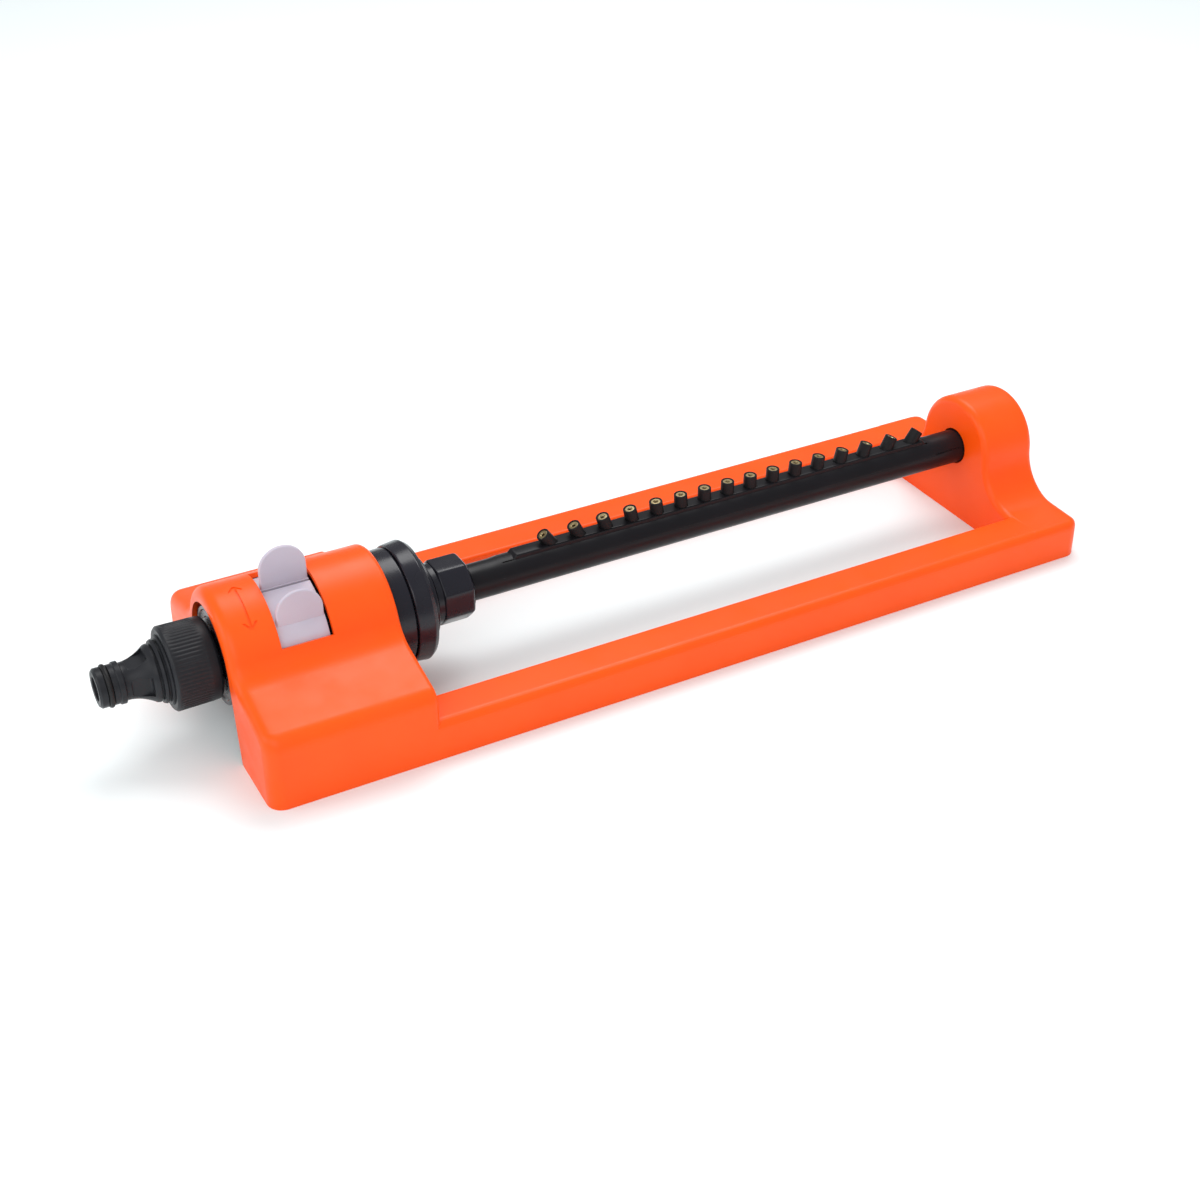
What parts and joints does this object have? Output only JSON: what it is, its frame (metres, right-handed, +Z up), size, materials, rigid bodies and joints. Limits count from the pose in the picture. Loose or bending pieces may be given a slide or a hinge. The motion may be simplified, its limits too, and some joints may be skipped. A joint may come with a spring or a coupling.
{
  "type": "oscillating lawn sprinkler",
  "caption": "Oscillating lawn sprinkler: hollow moulded frame, water motor with range tabs, swivel hose inlet and a rocking spray tube with a row of fanned nozzles.",
  "frame": {"origin": "on the ground under the middle of the whole object, hose nose included", "axes": "+X along the spray tube, from the hose inlet towards the end post; +Y away from the side that the range tabs' grips lean to; +Z up"},
  "size_m": [0.4462, 0.1264, 0.0781],
  "materials": {
    "orange_plastic": "satin moulded plastic",
    "black_plastic": "semi-gloss moulded plastic",
    "dark_plastic": "matt moulded plastic",
    "grey_plastic": "satin moulded plastic",
    "white_acetal": "smooth",
    "seal_rubber": "smooth",
    "nozzle_rubber": "smooth",
    "brass_jets": "dull",
    "steel": "bright"
  },
  "bodies": {
    "frame": {"frame_shell": "orange_plastic", "motor_straps": "black_plastic", "strap_screws": "steel", "motor_case": "black_plastic", "motor_cap": "black_plastic", "cap_seal": "seal_rubber", "outlet_bush": "black_plastic", "shaft_seal": "seal_rubber", "jet_plate": "white_acetal", "centre_shaft": "steel", "counter_shaft": "steel", "gear_plate": "white_acetal", "post_bush": "white_acetal", "filter_screen": "steel", "lever_pin": "steel"},
    "tube": {"output_gear": "white_acetal", "output_shaft": "black_plastic", "union_nut": "black_plastic", "tube_washer": "seal_rubber", "spray_tube": "black_plastic", "spray_nozzles": "nozzle_rubber", "nozzle_jets": "brass_jets", "tube_plug": "black_plastic", "plug_seal": "seal_rubber"},
    "counter": {"counter_gear": "white_acetal"},
    "turbine": {"turbine_wheel": "white_acetal"},
    "inlet": {"swivel_nut": "dark_plastic", "hose_nose": "dark_plastic", "nose_seal": "seal_rubber", "inlet_washer": "seal_rubber"},
    "front_tab": {"front_range_tab": "grey_plastic"},
    "rear_tab": {"rear_range_tab": "grey_plastic"},
    "lever": {"reversing_lever": "white_acetal", "lever_spring": "steel"}
  },
  "joints": [
    {"name": "tube_swing", "type": "hinge", "parent": "frame", "child": "tube", "pos_m": [0.0231, 0, 0.0351], "axis": [1, 0, 0], "range_deg": [-45, 45]},
    {"name": "counter_spin", "type": "hinge", "parent": "frame", "child": "counter", "pos_m": [-0.14, 0, 0.0249], "axis": [1, 0, 0], "range_deg": [-108, 108]},
    {"name": "turbine_spin", "type": "hinge", "parent": "frame", "child": "turbine", "pos_m": [-0.15, 0, 0.0351], "axis": [1, 0, 0], "range_deg": [-259.2, 259.2]},
    {"name": "front_tab_slide", "type": "hinge", "parent": "frame", "child": "front_tab", "pos_m": [-0.1431, 0, 0.0351], "axis": [1, 0, 0], "range_deg": [0, 17]},
    {"name": "rear_tab_slide", "type": "hinge", "parent": "frame", "child": "rear_tab", "pos_m": [-0.1431, 0, 0.0351], "axis": [1, 0, 0], "range_deg": [-20, 0]},
    {"name": "hose_swivel", "type": "hinge", "parent": "frame", "child": "inlet", "pos_m": [-0.186, 0, 0.0351], "axis": [1, 0, 0], "continuous": true},
    {"name": "lever_rock", "type": "hinge", "parent": "frame", "child": "lever", "pos_m": [-0.1655, 0, 0.0461], "axis": [1, 0, 0], "range_deg": [-12, 12]}
  ],
  "couplings": [
    {"joint": "counter_spin", "follows": "tube_swing", "ratio": -2.4},
    {"joint": "turbine_spin", "follows": "tube_swing", "ratio": 5.76}
  ]
}
